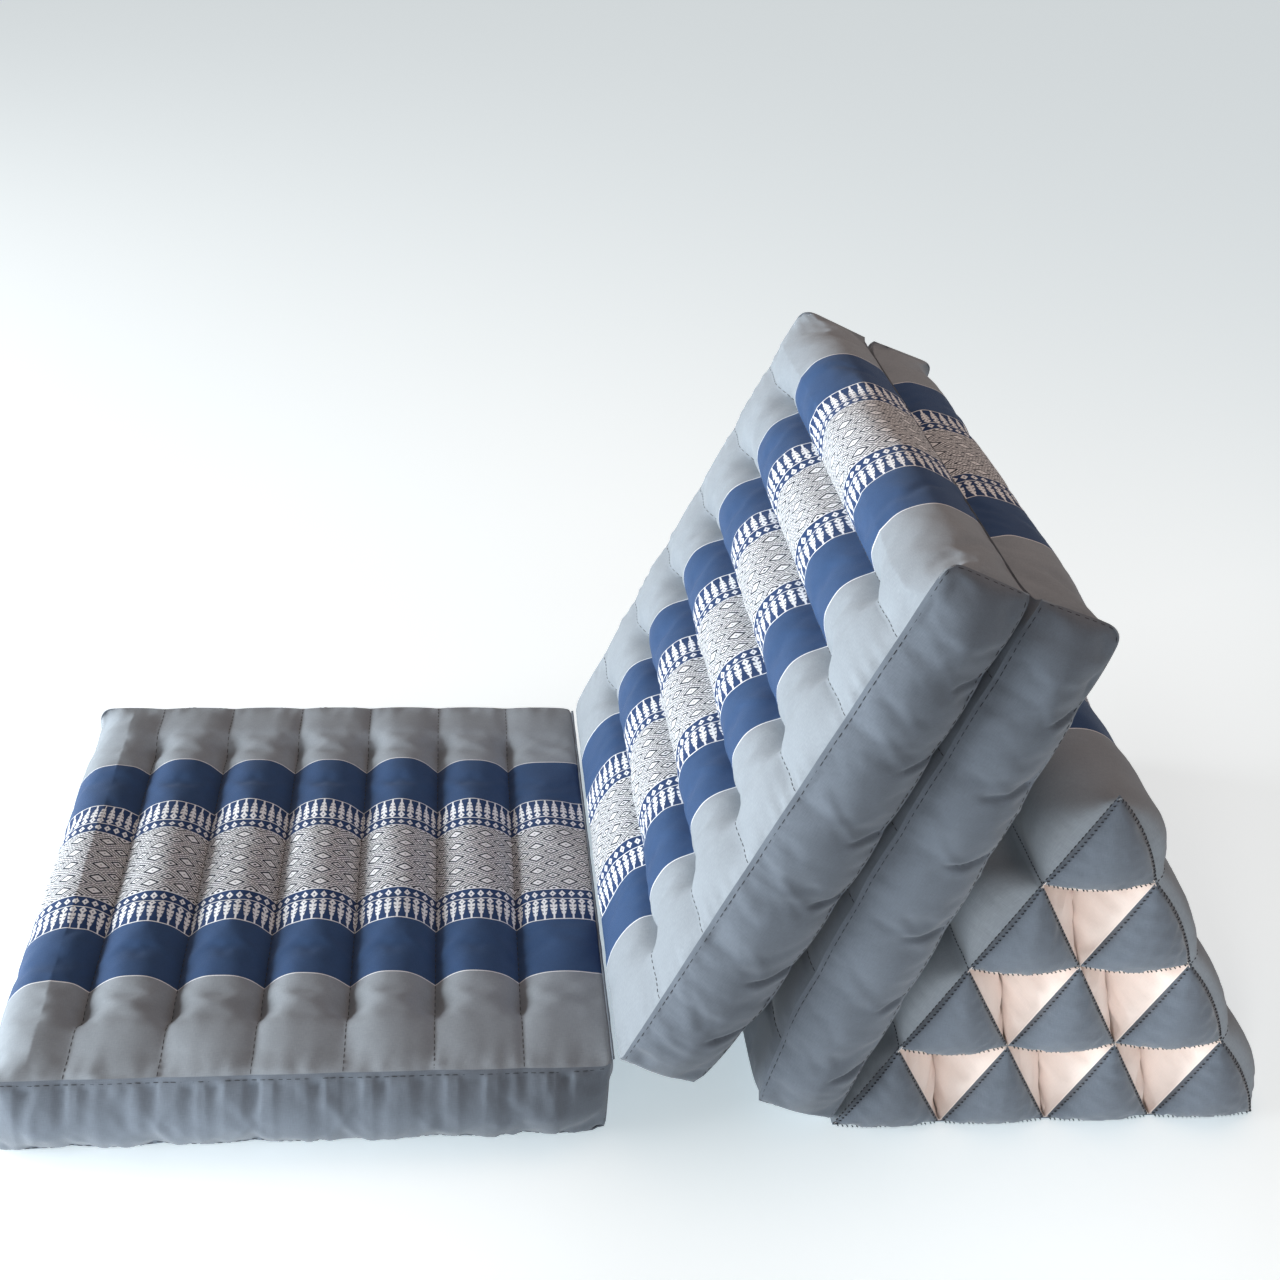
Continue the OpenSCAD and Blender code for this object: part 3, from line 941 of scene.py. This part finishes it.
def make_wedge_base():
    x = np.linspace(0.5 * MM, WEDGE_BASE - 0.5 * MM, 41)
    y = np.linspace(-HALF, HALF, 61)
    dip = 3 * MM * (1 - roll_arch((x / CELL_B) % 1))
    z = dip[:, None] * smoothstep(HALF - np.abs(y), 0, 30 * MM) + 0.2 * MM
    points = np.stack([*np.broadcast_arrays(x[:, None] + WEDGE_X, y), z], axis=2).reshape(-1, 3)
    faces = grid_faces(np.arange(z.size).reshape(z.shape), flip=True)
    cloth_piece("wedge_base_panel", (points, faces, points[:, :2]), PLAIN, "wedge", ["wedge_base_cover"],
                sharp=False)


def cell_outline(row, c):
    """Round a cell's section: its points, the way out from each, how far it can and would swell, and its sag."""
    corner = [cell_corner(row, c, n) for n in range(3)]
    s = np.arange(CELL_STEPS) / CELL_STEPS
    arc = 4 * s * (1 - s)
    parts = []
    for side, (a, b, low, high) in enumerate(CELL_SIDES):
        pocket = (row < ROWS - 1, c < row, c > 0)[side]
        edge = corner[b] - corner[a]
        limit = np.minimum(s * math.tan(math.radians(low)), (1 - s) * math.tan(math.radians(high)))
        parts.append(np.column_stack([corner[a] + edge * s[:, None], np.tile(outward(edge), (CELL_STEPS, 1)),
                                      limit * np.linalg.norm(edge) * pocket, arc * LINING_PUFF * pocket,
                                      arc * edge_sag(row, c, side)]))
    table = np.concatenate(parts)
    return table[:, :2], table[:, 2:4], *table[:, 4:].T


def cell_lining(number, row, c, stations, ramps):
    """A cell's pale tube. Its walls swell into the pockets beside it, and press on each other inside."""
    ring, out, limit, bulge, sag = cell_outline(row, c)
    rim = sag * (POCKET_RIM / POCKET_SAG) * (np.arange(len(sag)) < CELL_STEPS)
    wrinkle = waves(200 + number, 8, 10 * MM, 20 * MM)
    along_ring = np.arange(len(ring)) * (CELL_B / CELL_STEPS)
    blend = 6 * MM
    tube = []
    for y, ramp in zip(stations, ramps):
        depth, full = HALF - abs(y), bulge * ramp
        h = np.clip(0.5 + 0.5 * (full - limit) / blend, 0, 1)
        swell = np.minimum(between(full, limit, h) - blend * h * (1 - h), np.minimum(full, limit))
        swell = np.maximum(swell - 0.3 * MM, sag * (1 - ramp) + rim * smoothstep(depth, -1 * MM, 2.5 * MM))
        inside = smoothstep(depth, 0.5 * MM, 7 * MM) * (limit > 0)
        swell = swell + 1.6 * MM * inside * wrinkle(along_ring, 0.25 * y)
        p = ring + out * swell[:, None]
        for corner_at, inward, room in OUTER_LINES:
            p = p + np.outer(np.maximum(0, room * (0.2 + 0.8 * ramp) - (p - corner_at) @ inward), inward)
        p[:, 1] = np.minimum(p[:, 1], WEDGE_H - 3 * MM - 24 * MM * ramp)
        tube.append(wedge_points(p, y, 1.6 * MM))
    uv = np.stack([np.tile(run_along(ring), len(tube)), np.repeat(stations, len(ring))], axis=1)
    return np.concatenate(tube), tube_faces(len(tube), len(ring)), uv


def cap_grid():
    """Barycentric places of a cell's end, and its triangles, which face the near side."""
    places = [(i, j) for i in range(CAP_STEPS + 1) for j in range(CAP_STEPS + 1 - i)]
    at = {place: k for k, place in enumerate(places)}
    faces = [[at[i, j], at[i + 1, j], at[i, j + 1]] for i, j in places if i + j < CAP_STEPS]
    faces += [[at[i + 1, j], at[i + 1, j + 1], at[i, j + 1]] for i, j in places if i + j < CAP_STEPS - 1]
    return np.array([(i, j, CAP_STEPS - i - j) for i, j in places]) / CAP_STEPS, np.array(faces)


def cell_cap(number, row, c, way, share, faces):
    """The puffed triangle that closes a cell at one end, and the lines of its whip stitch."""
    corner = np.array([cell_corner(row, c, n) for n in range(3)])
    flat = share @ corner
    lines = []
    for side, (a, b, _, _) in enumerate(CELL_SIDES):
        edge, sag = corner[b] - corner[a], edge_sag(row, c, side)
        flat += np.outer(4 * share[:, a] * share[:, b] * sag, outward(edge))
        s = np.linspace(0.03, 0.97, 14)
        outer = (row == ROWS - 1, c == row, c == 0)[side]
        inward = (1.2 if outer else 0.9) * MM
        at = corner[a] + edge * s[:, None] + np.outer(4 * s * (1 - s) * sag - inward, outward(edge))
        lift = CAP_PUFF * (27 * s * (1 - s) * inward / (75 * MM)) ** CAP_ROUND
        lines.append((wedge_points(at, way * (HALF + lift + 0.2 * MM), 0.9 * MM),
                      np.tile([0.0, way, 0.0], (len(s), 1))))
    edge_d = share.min(axis=1) * 52 * MM
    rough = waves(100 + number + way * 20, 9, 8 * MM, 16 * MM)(*flat.T)
    folds = np.minimum(rough, 0.5) * 2.6 * MM * np.exp(-edge_d / (9 * MM)) * smoothstep(edge_d, 0, 3 * MM)
    height = (27 * share.prod(axis=1)) ** CAP_ROUND * CAP_PUFF + folds
    points = wedge_points(flat, way * (HALF + height), 0.5 * MM)
    return (points, faces if way < 0 else faces[:, ::-1], flat + number * 0.1), lines


def make_cells():
    """Pale tubes whose walls press on each other, closed by a puffed triangle at each end."""
    cells = [(row, c) for row in range(ROWS) for c in range(row + 1)]
    depth = np.array([0, 1.2, 3, 5.5, 9, 14, 20, 27, 35, 44, 54, 66]) * MM
    stations = np.concatenate([-HALF + depth, np.linspace(-HALF + 0.1, HALF - 0.1, 7), (HALF - depth)[::-1]])
    ramps = 1 - np.maximum(0, 1 - (HALF - np.abs(stations)) / (44 * MM)) ** 1.3
    linings = joined([cell_lining(n, *cell, stations, ramps) for n, cell in enumerate(cells)])
    cloth_piece("wedge_linings", linings, LINING, "wedge", ["wedge_cell_linings"], depth=0.8 * MM, sharp=False)
    share, faces = cap_grid()
    for way, label in ((-1, "near"), (1, "far")):
        caps, lines = zip(*(cell_cap(n, *cell, way, share, faces) for n, cell in enumerate(cells)))
        cloth_piece(f"wedge_{label}_cell_caps", joined(caps), PLAIN, "wedge", [f"wedge_{label}_caps"],
                    sharp=False)
        stitched(f"wedge_{label}_whipstitch", sum(lines, []), "wedge", WHIPSTITCH, wobble=0.4,
                 seed=60 + way, slant=0.9)


make_wedge_cover()
make_wedge_base()
make_cells()


# --- hinge seams ---
def hinge_seam(name, node, hinge, drop, cloth):
    """A rolled edge of cloth on a hinge line."""
    steps, sides = 106, 10
    y = np.linspace(-HALF + 7 * MM, HALF - 7 * MM, steps + 1)
    turn = np.arange(sides) * 2 * math.pi / sides
    r = 1.1 * MM + 0.12 * MM * waves(len(name), 6, 14 * MM, 40 * MM)(y, 0)
    points = np.stack([hinge[0] + r[:, None] * np.cos(turn), np.broadcast_to(y[:, None], (steps + 1, sides)),
                       hinge[1] - drop + r[:, None] * np.sin(turn)], axis=2).reshape(-1, 3)
    faces = tube_faces(steps + 1, sides).tolist()
    faces += [list(range(sides)), list(range(len(points) - sides, len(points)))[::-1]]
    uv = np.stack([np.tile(turn * 1.6 * MM, steps + 1), np.repeat(y, sides)], axis=1)
    obj = new_mesh_object(name, points, faces, uv)
    obj.data.materials.append(cloth[0])
    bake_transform(obj)
    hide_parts(node)


hinge_seam("seat_back_seam", "seat_hinge_seam", h1, 3 * MM, PLAIN)
hinge_seam("back_prop_seam", "top_hinge_seam", h2, 12 * MM, PLAIN)
hinge_seam("prop_wedge_seam", "wedge_hinge_seam", h3, 0, PATTERNED)


# --- floor, light, camera ---
WARM, COOL = (1.0, 0.74, 0.60), (0.92, 0.98, 1.0)
FLOOR_HALF, FLOOR_Z = 9, -0.0004  # the floor lies just under the cloth


def make_floor():
    corners = [(x * FLOOR_HALF, y * FLOOR_HALF, FLOOR_Z) for x, y in ((-1, -1), (1, -1), (1, 1), (-1, 1))]
    floor = new_mesh_object("floor", corners, [(0, 1, 2, 3)])
    material, tree, shader = new_material("pale_floor")
    feed_all(tree, shader, Base_Color=(0.93, 0.93, 0.93), Roughness=0.9, Emission_Color=(0.80, 0.94, 1.0),
             Emission_Strength=0.48)
    floor.data.materials.append(material)


def add_light(name, kind, place, target, power, colour, **settings):
    light = bpy.data.lights.new(name, kind)
    set_all(light, energy=power, color=colour, **settings)
    obj = new_object(name, light)
    obj.location = place
    obj.rotation_euler = (Vector(target) - Vector(place)).to_track_quat("-Z", "Y").to_euler()


def area_light(name, place, target, width, height, power, colour):
    add_light(name, "AREA", place, target, power, colour, shape="RECTANGLE", size=width, size_y=height)


def spot_light(name, place, target, cone, power):
    add_light(name, "SPOT", place, target, power, COOL, spot_size=math.radians(cone), spot_blend=1,
              shadow_soft_size=0.2)


def make_camera(place, pitch, yaw, roll, lens):
    """A camera that looks down by pitch, turned by yaw from +y towards +x, and rolled. Angles are degrees."""
    data = bpy.data.cameras.new("camera")
    data.lens, data.sensor_width = lens, 36
    camera = new_object("camera", data)
    camera.matrix_world = Matrix.Translation(place)
    for angle, axis in ((-yaw, "Z"), (90 - pitch, "X"), (roll, "Z")):
        camera.matrix_world @= Matrix.Rotation(math.radians(angle), 4, axis)
    bpy.context.scene.camera = camera


make_floor()
world = bpy.data.worlds.new("world")
bpy.context.scene.world = world
world.use_nodes = True
feed_all(world.node_tree, world.node_tree.nodes["Background"], Color=(1.0, 0.88, 0.82), Strength=0.25)
area_light("key", (-3.6, -0.05, 0.54), (0.1, 0, 0.2), 2.8, 1.5, 275, COOL)
area_light("overhead", (0.45, 0.15, 1.6), (0.15, 0, 0.3), 1.2, 1.2, 5, WARM)
area_light("low_fill", (-1.9, -1.05, 0.22), (0.2, -0.27, 0.1), 0.7, 0.3, 5, COOL)
spot_light("seat_fill", (-0.7, -1.5, 0.2), (-0.37, -0.27, 0.03), 24, 75)
spot_light("wedge_fill", (-0.1, -1.5, 0.35), (0.38, -0.25, 0.10), 23, 56)
make_camera((-0.1557, -1.2433, 0.9952), pitch=28.98, yaw=7.38, roll=3.69, lens=47.5)
bpy.context.scene.view_settings.view_transform = "Standard"
